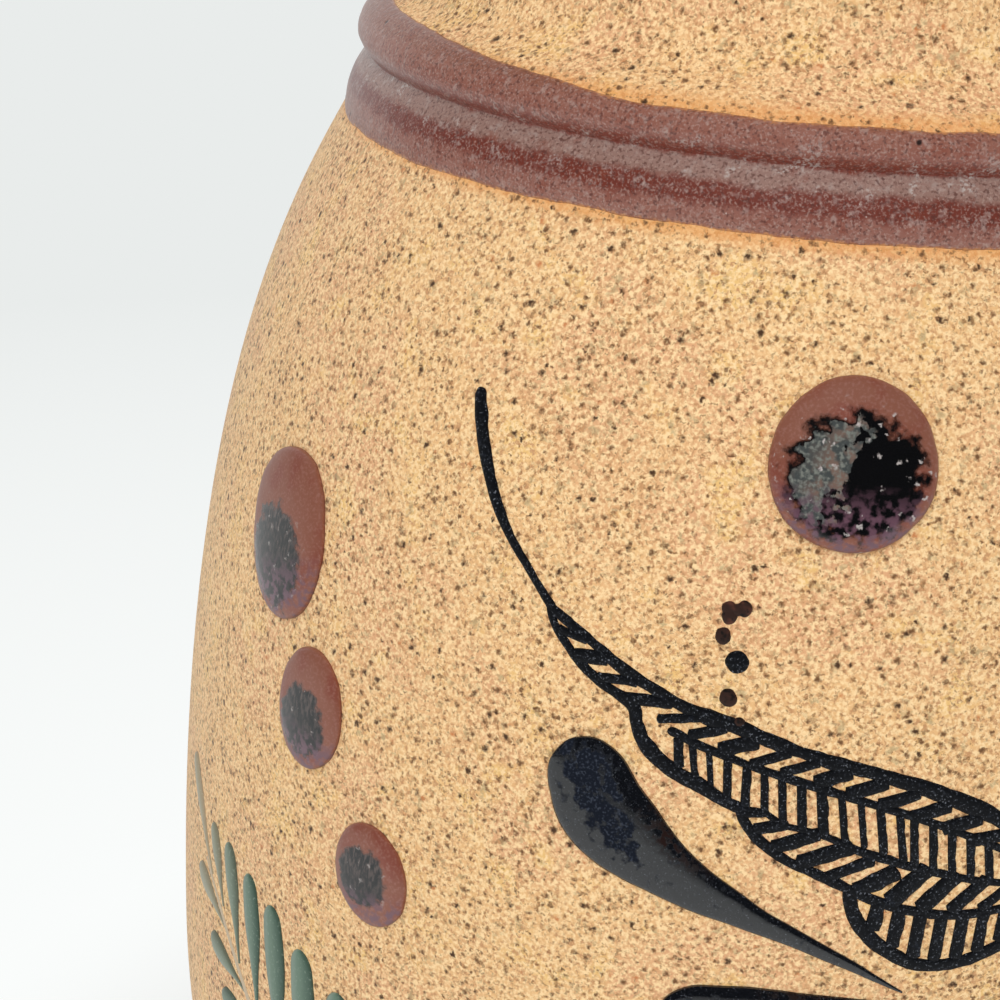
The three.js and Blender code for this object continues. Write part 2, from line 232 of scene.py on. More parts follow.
neckInner = offsetLine(neckOutside, -neck["wall"])
isNeck = (neckInner[:, 1] > neck["cordon"][-1][1]) & (neckInner[:, 1] < neck["lipCentre"][1] - 3)
neckInside = np.concatenate([[body["jointInner"]], neckInner[isNeck]])
lipTurn = np.linspace(0, math.pi, turning["lipSteps"] + 1)
lipRoll = np.array(neck["lipCentre"]) + neck["lipRadius"] * np.stack(
    [np.cos(lipTurn), np.sin(lipTurn)], 1)

wallLine = np.concatenate([bezierLine(body["lowerWall"], turning["lowerSamples"]),
                           bezierLine(body["upperWall"], turning["upperSamples"])[1:]])
wallWay = np.gradient(wallLine, axis=0)
wallLean = np.arctan2(-wallWay[:, 0], wallWay[:, 1])


def wallAt(height):
    # radius of the clay and how far it leans back, at a height
    return [np.interp(height, wallLine[:, 1], values) for values in (wallLine[:, 0], wallLean)]


def settleJoint(mesh):
    # the neck was set on by hand: groove and ridges rise and fall a little on their way round
    places = readField(mesh, "position", 3) / mm
    angle = np.arctan2(places[:, 1], places[:, 0]) + math.pi / 2
    near = np.clip(1 - np.abs(places[:, 2] - joint["level"]) / joint["reach"], 0, 1)
    rise = joint["once"] * np.cos(angle) + joint["twice"] * np.cos(2 * angle)
    places[:, 2] += rise * near * near * (3 - 2 * near)
    movePoints(mesh, places)


def layOnWall(flat, lift, turn, height):
    # a flat drawing laid on the clay: across runs round the body, up runs along its slope
    radius0, lean0 = wallAt(height)
    level = height + flat[:, 1] * math.cos(lean0)
    radius, lean = wallAt(level)
    reach = radius + lift * np.cos(lean)
    angle = math.radians(turn) + flat[:, 0] / radius0
    return np.stack(
        [reach * np.cos(angle), reach * np.sin(angle), level + lift * np.sin(lean)], 1)


# Tree for turned clay: an outline swept once round the axis

turnedForm, add, given = newTree("turnedForm", Int="turnSteps", Float="radius", Material="material")
circle = add("CurvePrimitiveCircle", {"Resolution": given["turnSteps"], "Radius": given["radius"]})
outline = add("MeshToCurve", [given["Geometry"]])
swept = add("CurveToMesh", {"Curve": circle, "Profile Curve": outline})
endTree(add, swept, given["material"])


# Tree for a glaze skin on turned clay: a thin film with soft, hand-painted edges

glazeSkin, add, given = newTree(
    "glazeSkin", Int="roundPoints acrossPoints", Material="material",
    Float="start end film sunk edgeWidth startWobble endWobble ripple spread spreadTurn seed")
grid = add("MeshGrid", {"Size X": 1.0, "Size Y": 1.0, "Vertices X": given["roundPoints"],
                        "Vertices Y": given["acrossPoints"]})
cell = add("SeparateXYZ", [add("InputPosition")]).outputs
angle = add("Math MULTIPLY_ADD", [cell[0], math.tau, math.pi])
share = add("Math ADD", [cell[1], 0.5])
topPart = 0.8       # share of the steps that lies on top; the rest closes the film underneath
outward = add("Math DIVIDE", [share, topPart])
homeward = add("Math MULTIPLY_ADD", [share, -1 / (1 - topPart), 1 / (1 - topPart)])
across = add("Math MINIMUM", [outward, homeward])
across = add("Math MAXIMUM", [across, 0.0])
isUnder = add("Math GREATER_THAN", [share, topPart + 0.001])
cosine = add("Math COSINE", [angle])
sine = add("Math SINE", [angle])
spread = add("Math SUBTRACT", [angle, given["spreadTurn"]])
spread = add("Math COSINE", [spread])
spread = add("MapRange", [spread, 0.5, 1.0, 0.0, given["spread"]])
edges = []
for key, shift, part in (("start", 0.0, -0.3), ("end", 9.0, 1.0)):
    ringPlace = add("CombineXYZ", [cosine, sine, add("Math ADD", [given["seed"], shift])])
    edge = add("TexNoise", {"Vector": ringPlace, "Scale": 7.0, "Detail": 4.0, "Roughness": 0.6})
    edge = add("Math SUBTRACT", [edge, 0.5])
    edge = add("Math MULTIPLY_ADD", [edge, given[key + "Wobble"], given[key]])
    edges.append(add("Math MULTIPLY_ADD", [spread, part, edge]))
width = add("Math SUBTRACT", [edges[1], edges[0]])
along = add("Math MULTIPLY_ADD", [across, width, edges[0]])
fromEdge = add("Math MINIMUM", [across, add("Math SUBTRACT", [1.0, across])])
fromEdge = add("Math MULTIPLY", [fromEdge, width])
short = add("Math DIVIDE", [fromEdge, given["edgeWidth"]])
short = add("Math MINIMUM", [short, 1.0])
short = add("Math SUBTRACT", [1.0, short])
full = add("Math SUBTRACT", [1.0, add("Math POWER", [short, 2.0])])
clayLine = add("MeshToCurve", [given["Geometry"]])
onLine = add("SampleCurve", {"Curves": clayLine, "Length": along}, mode="LENGTH").outputs
foot = add("SeparateXYZ", [onLine["Position"]]).outputs
way = add("SeparateXYZ", [onLine["Tangent"]]).outputs
ripplePlace = add("CombineXYZ", [cosine, sine, foot[2]])
ripple = add("TexNoise", {"Vector": ripplePlace, "Scale": 24.0, "Detail": 3.0})
ripple = add("Math SUBTRACT", [ripple, 0.5])
film = add("Math MULTIPLY_ADD", [ripple, given["ripple"], given["film"]])
depth = add("Mix", {0: isUnder, 2: film, 3: given["sunk"]})
buried = add("Math MULTIPLY", [given["sunk"], 0.25])    # the edge itself dips into the clay
lift = add("Math SUBTRACT", [depth, buried])
lift = add("Math MULTIPLY_ADD", [lift, full, buried])
reach = add("Math MULTIPLY_ADD", [way[2], lift, foot[0]])
fall = add("Math MULTIPLY", [way[0], lift])
placed = add("CombineXYZ", [
    add("Math MULTIPLY", [reach, cosine]), add("Math MULTIPLY", [reach, sine]),
    add("Math SUBTRACT", [foot[2], fall])])
upBand = add("MapRange", [along, given["start"], given["end"]], clamp=False)
skinned = grid      # what depends on the flat grid is kept before the grid is moved
for label, value in (("acrossBand", upBand), ("fromEdge", fromEdge)):
    skinned = add("StoreNamedAttribute", {"Geometry": skinned, "Name": label, "Value": value},
                  data_type="FLOAT", domain="POINT")
skinned = add("SetPosition", {"Geometry": skinned, "Position": placed})
endTree(add, skinned, given["material"])


# Tree for brushed and trailed glaze: flat lines swept with their own width, then laid on the clay

glazeStroke, add, given = newTree(
    "glazeStroke", Int="sectionSteps", Float="wobble widthWobble wobbleScale seed",
    Material="material")
there = add("VectorMath ADD", [add("InputPosition"), add("CombineXYZ", {2: given["seed"]})])
shake = add("TexNoise", {"Vector": there, "Scale": given["wobbleScale"], "Detail": 2.0}).outputs
flat = add("VectorMath SUBTRACT", [shake[1], (0.5, 0.5, 0.5)])
flat = add("VectorMath MULTIPLY", [flat, (1.0, 1.0, 0.0)])
flat = add("VectorMath SCALE", {0: flat, "Scale": given["wobble"]})
drawn = add("SetPosition", {"Geometry": given["Geometry"], "Offset": flat})
halfWidth = add("InputNamedAttribute", {"Name": "halfWidth"}, data_type="FLOAT")
press = add("Math SUBTRACT", [shake[0], 0.5])
press = add("Math MULTIPLY_ADD", [press, given["widthWobble"], 1.0])
drawn = add("StoreNamedAttribute", {
    "Geometry": drawn, "Name": "halfWidth", "Value": add("Math MULTIPLY", [halfWidth, press])},
    data_type="FLOAT", domain="POINT")
path = add("SetCurveNormal", {"Curve": add("MeshToCurve", [drawn])}, mode="Z_UP")
section = add("CurvePrimitiveCircle", {"Resolution": given["sectionSteps"], "Radius": 1.0})
section = add("StoreNamedAttribute", {
    "Geometry": section, "Name": "section", "Value": add("InputPosition")},
    data_type="FLOAT_VECTOR", domain="POINT")
kept = add("InputNamedAttribute", {"Name": "halfWidth"}, data_type="FLOAT")
stroked = add("CurveToMesh", {"Curve": path, "Profile Curve": section, "Scale": kept})
endTree(add, stroked, given["material"])
print("trees built")


# Materials: every pattern is worked out in millimetres on Object coordinates

def newMaterial(name):
    # a material, the function that adds to its tree, and the place on the pot in millimetres
    material = bpy.data.materials.new(name)
    material.use_nodes = True
    material.node_tree.nodes.clear()
    add = partial(addNode, material.node_tree)
    place = add("Mapping", {
        "Vector": add("TexCoord").outputs["Object"], "Scale": (1000.0, 1000.0, 1000.0)})
    return material, add, place


def layColours(add, palette, colour, layers):
    # lays colours of a palette over one another, each where its mask is 1
    if isinstance(colour, str):
        colour = linearColour(palette[colour])
    for mask, over in layers:
        colour = add("Mix", {0: mask, 6: colour, 7: linearColour(palette[over])},
                     data_type="RGBA").outputs[2]
    return colour


def endMaterial(add, place, finish, colour, raised=None, **varying):
    # the shader, with a fine relief: its noise scale and detail, its strength and its depth
    values = {"Base Color": colour, "Sheen Weight": finish.get("dust", 0.0),
              "Roughness": finish["roughness"], "Specular IOR Level": finish.get("specular", 0.5)}
    if "relief" in finish:
        scale, detail, strength, depth = finish["relief"]
        height = add("TexNoise", {"Vector": place, "Scale": scale, "Detail": detail})
        if raised:      # a mask that stands proud of the rest, and how much
            height = add("Math MULTIPLY_ADD", [*raised, height])
        values["Normal"] = add("Bump", {
            "Strength": strength, "Distance": depth * mm, "Height": height})
    add("OutputMaterial", {"Surface": add("BsdfPrincipled", {**values, **varying})})


def grains(add, place, size, low, high, most=1.0, detail=2.0, within=()):
    # a soft mask of blotches of a size, 0 below low and most above high, kept within other masks
    cloud = add("TexNoise", {"Vector": place, "Scale": 1 / size, "Detail": detail})
    mask = add("MapRange", [cloud, low, high, 0.0, most], interpolation_type="SMOOTHSTEP")
    for other in within:
        mask = add("Math MULTIPLY", [mask, other])
    return mask


def specks(add, place, spacing, small, large, share, soft=0.35, within=()):
    # a mask of round spots: one to a cell, its radius between small and large, in a share of cells
    spots = add("TexVoronoi", {"Vector": place, "Scale": 1 / spacing}).outputs
    dice = add("SeparateColor", [spots["Color"]]).outputs
    radius = add("MapRange", [dice[0], 0.0, 1.0, small / spacing, large / spacing])
    inner = add("Math MULTIPLY", [radius, 1 - soft])
    mask = add("MapRange", [spots["Distance"], inner, radius, 1.0, 0.0],
               interpolation_type="SMOOTHSTEP")
    for other in (add("Math LESS_THAN", [dice[1], share]), *within):
        mask = add("Math MULTIPLY", [mask, other])
    return mask


# Speckled stoneware, bare and fired: matt sandy clay, peppered where iron grains have bled out
stoneware = {
    "clay": "#E5B67F", "blush": "#DDA77B", "straw": "#E8BD79", "cream": "#F8D6A2", "tan": "#C49265",
    "sage": "#A8946C", "faintIron": "#8C6640", "iron": "#6F4D30", "darkIron": "#4A3220",
    "rust": "#C27846", "halo": "#DE9650", "haloLevels": (196.9, 208.1),
    "roughness": 0.86, "specular": 0.25, "dust": 0.14, "relief": (2.9, 4.0, 0.7, 0.15),
}
clayMaterial, add, place = newMaterial("bareSpeckledStoneware")
jitter = add("TexNoise", {"Vector": place, "Scale": 2.6, "Detail": 2.0}).outputs[1]
jitter = add("VectorMath SUBTRACT", [jitter, (0.5, 0.5, 0.5)])
bent = add("VectorMath MULTIPLY_ADD", [jitter, (0.8, 0.8, 0.8), place])
level = add("SeparateXYZ", [bent]).outputs[2]
halo = 0.0          # glaze bleeds orange into the clay along both edges of the band
for edge in stoneware["haloLevels"]:
    off = add("Math SUBTRACT", [level, edge])
    off = add("Math ABSOLUTE", [off])
    halo = add("Math MAXIMUM", [add("MapRange", [off, 1.3, 0.2, 0.0, 0.6]), halo])
crowd = add("MapRange", [grains(add, place, 7.0, 0.34, 0.66), 0.0, 1.0, 0.40, 1.0])
colour = layColours(add, stoneware, "clay", [
    (grains(add, place, 15, 0.42, 0.62), "blush"),
    (grains(add, bent, 5, 0.52, 0.70), "straw"),
    (grains(add, place, 0.40, 0.36, 0.64), "cream"),
    (grains(add, bent, 0.46, 0.48, 0.70), "tan"),
    (grains(add, bent, 1.2, 0.58, 0.78, 0.7), "sage"),
    (halo, "halo"),
    (specks(add, bent, 2.2, 0.25, 0.55, 0.35, 1.0), "rust"),
    (grains(add, bent, 0.62, 0.60, 0.76, 0.75, 1.0), "faintIron"),
    (specks(add, bent, 0.72, 0.18, 0.36, crowd, 0.9), "faintIron"),
    (specks(add, bent, 1.05, 0.26, 0.54, crowd, 0.85), "iron"),
    (specks(add, bent, 1.9, 0.30, 0.60, 0.60, 0.75), "darkIron")])
endMaterial(add, place, stoneware, colour)

# Iron glaze, brushed thin and fired: rust red where thick, mauve where it breaks over the ridges. Its
# colour steps also paint
# light: a pale strip of painted reflection on the up-facing top of the lower ridge, with some real dry
# bloom, and painted shade
ironGlaze = {
    # colour steps up the band: the pale steps near the groove are painted reflection, the dark red from
    # 0.585 to 0.68 on the cordon's down-facing underside is painted shade
    "stopsWithPaintedLight": [(0.0, "#8A5644"), (0.05, "#8F5F52"), (0.16, "#8C5B4F"), (0.22, "#6F3024"),
              (0.33, "#6F3024"), (0.395, "#8F6E63"), (0.54, "#94746A"), (0.585, "#7A3325"),
              (0.68, "#7A3526"), (0.76, "#8A5548"), (0.95, "#8F5E4F"), (1.0, "#84503D")],
    "pale": "#B0958A", "dark": "#57302A", "rust": "#7E3C2A", "bloom": "#B8ABA4",
    "pit": "#2C1F1C", "thinEdge": "#C68A55", "grooveAt": 0.52,
    "roughness": 0.34, "specular": 0.5, "relief": (1.6, 4.0, 0.6, 0.10),
}
ironMaterial, add, place = newMaterial("brushedIronGlaze")
acrossBand, fromEdge = (add("Attribute", attribute_name=label).outputs["Fac"]
                        for label in ("acrossBand", "fromEdge"))
drift = add("TexNoise", {"Vector": place, "Scale": 0.5, "Detail": 5.0})
drift = add("Math SUBTRACT", [drift, 0.5])
ramp = add("ValToRGB", [add("Math MULTIPLY_ADD", [drift, 0.15, acrossBand])])
for i, (at, hexText) in enumerate(ironGlaze["stopsWithPaintedLight"]):
    stop = ramp.color_ramp.elements[i] if i < 2 else ramp.color_ramp.elements.new(at)
    stop.position = at
    stop.color = linearColour(hexText)
offGroove = add("Math SUBTRACT", [acrossBand, ironGlaze["grooveAt"]])
offGroove = add("Math ABSOLUTE", [offGroove])
byGroove = add("MapRange", [offGroove, 0.42, 0.06, 0.0, 0.85])
dryPatches = grains(add, place, 2.4, 0.56, 0.68, within=[byGroove])
frayed = add("TexNoise", {"Vector": place, "Scale": 2.2, "Detail": 4.0})
frayed = add("Math MULTIPLY_ADD", [frayed, -1.2 * mm, fromEdge])
colour = layColours(add, ironGlaze, ramp, [
    (grains(add, place, 2.6, 0.56, 0.74, 0.6), "rust"),
    (grains(add, place, 0.9, 0.54, 0.74, 0.32), "bloom"),
    (grains(add, place, 0.26, 0.48, 0.72, 0.55), "pale"),
    (grains(add, place, 0.34, 0.50, 0.70, 0.75), "dark"),
    (grains(add, place, 0.35, 0.46, 0.62, within=[dryPatches]), "bloom"),
    (specks(add, place, 1.2, 0.05, 0.12, 0.35, 0.8), "bloom"),
    (specks(add, place, 4.4, 0.15, 0.40, 0.30, 0.6), "pit"),
    (add("MapRange", [frayed, -0.60 * mm, -0.20 * mm, 0.95, 0.0]), "thinEdge")])
craters = specks(add, place, 4.4, 0.3, 0.7, 0.30, 0.6)
endMaterial(add, place, ironGlaze, colour, (craters, -1.0))

# Pooled iron glaze in raised drops: mauve brown where it is thin, black where it pools deep, with a
# grey film over part of the pool that is painted reflection of the bright room, made dry and rough
pooledGlaze = {
    "thin": "#854F3C", "thinPale": "#936356", "thinRed": "#7E3B2B", "deep": "#08080A",
    "streak": "#5A4C48", "film": "#3C4140", "reflectionPale": "#74776F", "reflectionBrown": "#745A4D",
    "fleck": "#B9B0AC", "violet": "#694A57", "roughness": 0.12, "thinRoughness": 0.42,
    "dryRoughness": 0.55, "specular": 0.7, "relief": (0.5, 2.0, 0.35, 0.15),
}
pooledMaterial, add, place = newMaterial("pooledIronGlaze")
pool, low, reflectionReach, streakShare = (
    add("Attribute", attribute_name=label).outputs["Fac"]
    for label in ("poolDistance", "dropUp", "reflectionReach", "poolStreaks"))
ragged = add("TexNoise", {"Vector": place, "Scale": 0.7, "Detail": 5.0})
ragged = add("Math SUBTRACT", [ragged, 0.5])
poolEdge = add("Math MULTIPLY_ADD", [ragged, 0.8, pool])
inPool = add("MapRange", [poolEdge, 0.86, 1.06, 1.0, 0.0], interpolation_type="SMOOTHSTEP")
# the grey film: painted reflection of the bright room over part of the pool, with a ragged edge
paintedReflection = add("MapRange", [add("Math ADD", [ragged, reflectionReach]), -0.02, 0.03],
              interpolation_type="SMOOTHSTEP")
paintedReflection = add("Math MULTIPLY", [paintedReflection, add("MapRange", [poolEdge, 0.86, 0.80])])
byReflectionEdge = add("MapRange", [reflectionReach, 0.50, 0.25, 0.15])
atFoot = add("MapRange", [low, -0.20, -0.60, 0.0, 0.9])
atTop = add("MapRange", [low, -0.45, 0.30, 0.25, 1.0])
byPool = add("MapRange", [poolEdge, 1.25, 1.05])
fleckShare = add("MapRange", [streakShare, 0.0, 1.0, 0.9, 0.35])
fleckPlace = add("VectorMath MULTIPLY_ADD", [
    add("TexNoise", {"Vector": place, "Scale": 2.2}).outputs[1], (1.2, 1.2, 1.2), place])
flecks = specks(add, fleckPlace, 1.0, 0.10, 0.38, 0.48, 0.8, [byPool, fleckShare])
streakPlace = add("Mapping", {"Vector": place, "Scale": (1.0, 1.0, 0.35)})
colour = layColours(add, pooledGlaze, "thin", [
    (grains(add, place, 4.5, 0.46, 0.66, 0.8), "thinRed"),
    (grains(add, place, 0.30, 0.46, 0.70, 0.7), "thinPale"),
    (inPool, "deep"),
    (grains(add, streakPlace, 0.35, 0.42, 0.66, within=[inPool, atTop, streakShare]), "streak"),
    (paintedReflection, "film"),
    (grains(add, place, 1.4, 0.42, 0.60, 0.9, within=[paintedReflection, byReflectionEdge]), "reflectionBrown"),
    (grains(add, place, 0.4, 0.44, 0.70, 1.0, 5.0, [paintedReflection]), "reflectionPale"),
    (grains(add, place, 0.9, 0.40, 0.62, within=[atFoot]), "violet"),
    (flecks, "fleck")])
# the painted reflection gets the same rough, dull finish as the real dry flecks
dryness = add("Math MAXIMUM", [paintedReflection, flecks])
wet = add("MapRange", [inPool, 0.0, 1.0, pooledGlaze["thinRoughness"], pooledGlaze["roughness"]])
rough = add("MapRange", [dryness, 0.0, 1.0, wet, pooledGlaze["dryRoughness"]])
endMaterial(add, place, pooledGlaze, colour, (paintedReflection, 0.25), Roughness=rough)

# Black brushed glaze, glossy and laid on thick: blue black, with a dry navy patch of crystals on
# the head of a leaf and brown where its edge thins. Trailed lines of it are thin and nearly matt
blackGlaze = {
    "black": "#0A0C11", "navy": "#121722", "crystal": "#3C424E", "brown": "#22120F",
    "grain": "#2B2E35", "paintedGlint": "#6C7078", "relief": (0.5, 3.0, 0.3, 0.08),
    "dryRoughness": 0.9, "drySpecular": 0.2,
}
brushedGlaze = {**blackGlaze, "roughness": 0.09, "specular": 0.8, "grainAndGlint": 0.4}
trailedGlaze = {**blackGlaze, "roughness": 0.6, "specular": 0.2, "grainAndGlint": 0.9}
blackMaterials = []
for name, finish in (("brushedBlackGlaze", brushedGlaze), ("trailedBlackGlaze", trailedGlaze)):
    material, add, place = newMaterial(name)
    dryHead, side = (add("Attribute", attribute_name=label).outputs["Fac"]
                     for label in ("dryHead", "brownSide"))
    dry = add("Math ADD", [dryHead, grains(add, place, 1.3, 0.30, 0.70, 1.0, 5.0)])
    dry = add("MapRange", [dry, 0.85, 1.25])
    browns = grains(add, place, 0.7, 0.44, 0.60, 1.0, 4.0, [side])
    colour = layColours(add, finish, "black", [
        (grains(add, place, 0.3, 0.54, 0.76, finish["grainAndGlint"]), "grain"),
        # grey specks painted as tiny glints of light on the black glaze
        (grains(add, place, 0.22, 0.60, 0.74, finish["grainAndGlint"]), "paintedGlint"),
        (dry, "navy"),
        (grains(add, place, 0.28, 0.50, 0.72, 0.8, within=[dry]), "crystal"),
        (browns, "brown")])
    varying = {}
    if finish is brushedGlaze:      # the dry patch and the brown edge hardly shine
        dryness = add("Math MAXIMUM", [dry, browns])
        for label, glossy, dull in (("Roughness", finish["roughness"], finish["dryRoughness"]),
                                    ("Specular IOR Level", finish["specular"], finish["drySpecular"])):
            varying[label] = add("MapRange", [dryness, 0.0, 1.0, glossy, dull])
    endMaterial(add, place, finish, colour, **varying)
    blackMaterials.append(material)
blackMaterial, blackLineMaterial = blackMaterials

# Iron dots, trailed small: dark brown, redder where they are thin
ironDot = {"brown": "#33201A", "red": "#553025", "black": "#17110F", "roughness": 0.5,
           "specular": 0.25}
dotMaterial, add, place = newMaterial("trailedIronDots")
endMaterial(add, place, ironDot, layColours(add, ironDot, "brown", [
    (grains(add, place, 1.6, 0.50, 0.66), "red"),
    (grains(add, place, 0.6, 0.56, 0.70), "black")]))

# Green slip, brushed and satin: grey green, darker down one side where the brush left more
greenSlip = {"green": "#5E7765", "deep": "#3C5346", "grey": "#8A9A8C", "washed": "#C9B498",
             "roughness": 0.45, "relief": (1.5, 3.0, 0.4, 0.08)}
greenMaterial, add, place = newMaterial("brushedGreenSlip")
side, load = (add("Attribute", attribute_name=label).outputs["Fac"]
              for label in ("acrossStroke", "brushLoad"))
endMaterial(add, place, greenSlip, layColours(add, greenSlip, "green", [
    (add("MapRange", [side, -0.1, -1.0, 0.0, 0.8]), "grey"),
    (add("MapRange", [side, 0.0, 0.9]), "deep"),
    (grains(add, place, 0.4, 0.56, 0.74, 0.5), "grey"),
    (add("Math SUBTRACT", [1.0, load]), "washed")]))

# Liner glaze, poured in and out: honey brown and glossy, thinner over the throwing rings
linerGlaze = {"brown": "#7E4A2E", "honey": "#A0683F", "dark": "#4C2A1C", "roughness": 0.22,
              "relief": (0.5, 2.0, 0.3, 0.15)}
linerMaterial, add, place = newMaterial("pouredLinerGlaze")
endMaterial(add, place, linerGlaze, layColours(add, linerGlaze, "brown", [
    (grains(add, place, 9.0, 0.42, 0.62), "honey"),
    (grains(add, place, 1.2, 0.56, 0.74), "dark"),
    (specks(add, place, 1.5, 0.12, 0.30, 0.4), "dark")]))
print("materials built")


# The thrown clay: body and neck, each a closed turned form

bodyOutline = np.concatenate([body["foot"], bodyOutside, bodyInside[::-1]])
neckOutline = np.concatenate([neckOutside, lipRoll[1:], neckInside[::-1]])
for name, outline, closed, node in (
        ("clayBody", bodyOutline, False, "thrown_body"), ("clayNeck", neckOutline, True, "thrown_neck")):
    flat = np.stack([outline[:, 0] - turning["radius"], -outline[:, 1]], 1)
    piece = shapedBy(turnedForm, name, lineMesh(name, [flat], closed), {
        "turnSteps": turning["turnSteps"], "radius": turning["radius"] * mm,
        "material": clayMaterial})
    settleJoint(piece.data)
    finishPiece(piece, "clay", node)


# Glaze skins: the band over the double ridge, the rim, and the liner inside

skins = {
    "ridgeGlaze": {
        "node": "ridge_glaze", "slot": "iron_glaze", "material": ironMaterial,
        "line": np.concatenate([upperWall[-6:-1], jointLine, neckLower[1:6]]),
        "from": (58, 197), "to": (55.5, 207.9), "film": 0.30, "sunk": -0.35, "edgeWidth": 1.2,
        "startWobble": 1.4, "endWobble": 1.4, "ripple": 0.18, "spread": 3.3, "spreadTurn": -170,
        "seed": 3.0, "acrossPoints": 61, "roundPoints": 401},
    "rimGlaze": {
        "node": "rim_glaze", "slot": "iron_glaze", "material": ironMaterial,
        "line": np.concatenate([neckUpper[4:], lipRoll[1:]]),
        "from": (51.5, 236.4), "to": (50.1, 242.9), "film": 0.40, "sunk": -0.35, "edgeWidth": 1.0,
        "startWobble": 1.8, "endWobble": 0.0, "ripple": 0.15, "spread": 0.0, "spreadTurn": 0,
        "seed": 21.0, "acrossPoints": 61, "roundPoints": 289},
    "linerGlaze": {
        "node": "liner_glaze", "slot": "liner_glaze", "material": linerMaterial,
        "line": np.concatenate([bodyInside, neckInside[1:]]),
        "from": (0, 11), "to": (44.6, 231), "film": -0.5, "sunk": 0.35, "edgeWidth": 1.2,
        "startWobble": 0.0, "endWobble": 2.5, "ripple": 0.15, "spread": 0.0, "spreadTurn": 0,
        "seed": 40.0, "acrossPoints": 161, "roundPoints": 241},
}
for name, skin in skins.items():
    line = skin["line"]
    start, end = (lengthsAlong(line)[np.argmin(np.linalg.norm(line - np.array(skin[key]), axis=1))]
                  for key in ("from", "to"))
    sizes = {key: float(size) * mm for key, size in {**skin, "start": start, "end": end}.items()
             if key in ("start", "end", "film", "sunk", "edgeWidth", "startWobble", "endWobble",
                        "ripple", "spread")}
    standing = np.stack([line[:, 0], line[:, 0] * 0, line[:, 1]], 1)
    piece = shapedBy(glazeSkin, name, lineMesh(name, [standing]), {
        **skin, **sizes, "spreadTurn": math.radians(skin["spreadTurn"])})
    settleJoint(piece.data)
    finishPiece(piece, skin["slot"], skin["node"])


# Strokes and drops: flat lines with a half width and a rise at each point

def strokeLine(places, steps, width=None, roundEnds=(True, True), taper=None):
    # a line through places, crowded towards its ends, whose ends are round or drawn out thin
    line = smoothLine(places)
    lengths = lengthsAlong(line[:, :2])
    s = lengths[-1] * (0.5 - 0.5 * np.cos(np.linspace(0, math.pi, steps + 1)))
    points = np.stack([np.interp(s, lengths, line[:, i]) for i in range(line.shape[1])], 1)
    half = points[:, 2] if points.shape[1] > 2 else np.full(len(s), width / 2)
    for isRound, fromEnd in ((roundEnds[0], s), (roundEnds[1], lengths[-1] - s)):
        reach = min((np.max(half) if isRound else taper or 6 * np.max(half)), lengths[-1] / 2)
        near = np.clip(fromEnd / reach, 0, 1)
        half = half * (np.sqrt(1 - (1 - near) ** 2) if isRound else near ** 0.8)
    return points[:, :2], half


def strokePiece(label, strokes, drawing, brush, group, material, slotName, replaced=None,
                mark=None, seed=0.0):
    # sweeps the strokes flat, then lays them on the clay with a rounded top
    name = f"{label}_{group + 1}"
    loads = brush.get("loads", [1.0] * len(strokes))
    mesh = lineMesh(
        name, [points for points, half in strokes],
        halfWidth=[half * mm for points, half in strokes],
        fullWidth=[np.full(len(half), np.max(half)) for points, half in strokes],
        brushLoad=[np.full(len(half), load) for (points, half), load in zip(strokes, loads)])
    piece = shapedBy(glazeStroke, name, mesh, {
        **brush, "wobble": brush["wobble"] * mm, "seed": seed, "material": material})
    flat = readField(piece.data, "position", 3) / mm
    side, top, _ = (readField(piece.data, "section", 3) * (1, -1, 1)).T
    full = readField(piece.data, "fullWidth")
    swell = np.sqrt(np.clip(readField(piece.data, "halfWidth") / mm / full, 0, 1))
    rise = drawing["rise"] * np.minimum(1, full / brush.get("fullRiseAt", 0.01)) * swell
    sunk = 0.25
    lift = np.where(top > 0, rise * np.abs(top) ** brush["dome"], -sunk * swell * np.abs(top))
    movePoints(piece.data, layOnWall(flat, lift, drawing["turn"] + 120 * group, drawing["level"]))
    writeField(piece.data, "acrossStroke", side)
    if mark:
        mark(piece.data, flat)
    finishPiece(piece, slotName, *([f"{replaced}_{group + 1}"] if replaced else []))


# Raised drops of iron glaze. The pool is its centre and half sizes; the film, a grey patch of painted
# reflection, is its slope across, its lean up and its start

drops = {
    "drop_large": {"turn": -84.7, "level": 178.04, "width": 16.0, "height": 16.8, "tilt": 0,
                   "rise": 1.75, "pool": (0.04, -0.14, 0.84, 0.76), "film": (-1.0, 0.34, -0.03),
                   "streaks": 0.0, "blunt": 2.0},
    "drop_upper": {"turn": -137.5, "level": 155.96, "width": 14.8, "height": 19.2, "tilt": 16,
                   "rise": 1.55, "pool": (-0.08, -0.26, 0.70, 0.62), "film": (-0.3, 0.0, -0.55),
                   "streaks": 0.85, "blunt": 2.7},
    "drop_middle": {"turn": -130.1, "level": 139.28, "width": 11.0, "height": 14.0, "tilt": 0,
                    "rise": 1.3, "pool": (-0.03, -0.22, 0.74, 0.60), "film": (-0.3, 0.0, -0.55),
                    "streaks": 0.8, "blunt": 2.1},
    "drop_lower": {"turn": -120.9, "level": 124.4, "width": 10.4, "height": 11.8, "tilt": 8,
                   "rise": 1.15, "pool": (-0.08, -0.02, 0.66, 0.60), "film": (-0.3, 0.0, -0.55),
                   "streaks": 0.75, "blunt": 2.0},
}
dropBrush = {"steps": 44, "sectionSteps": 48, "wobble": 0.5, "widthWobble": 0.1,
             "wobbleScale": 110.0, "dome": 0.62}


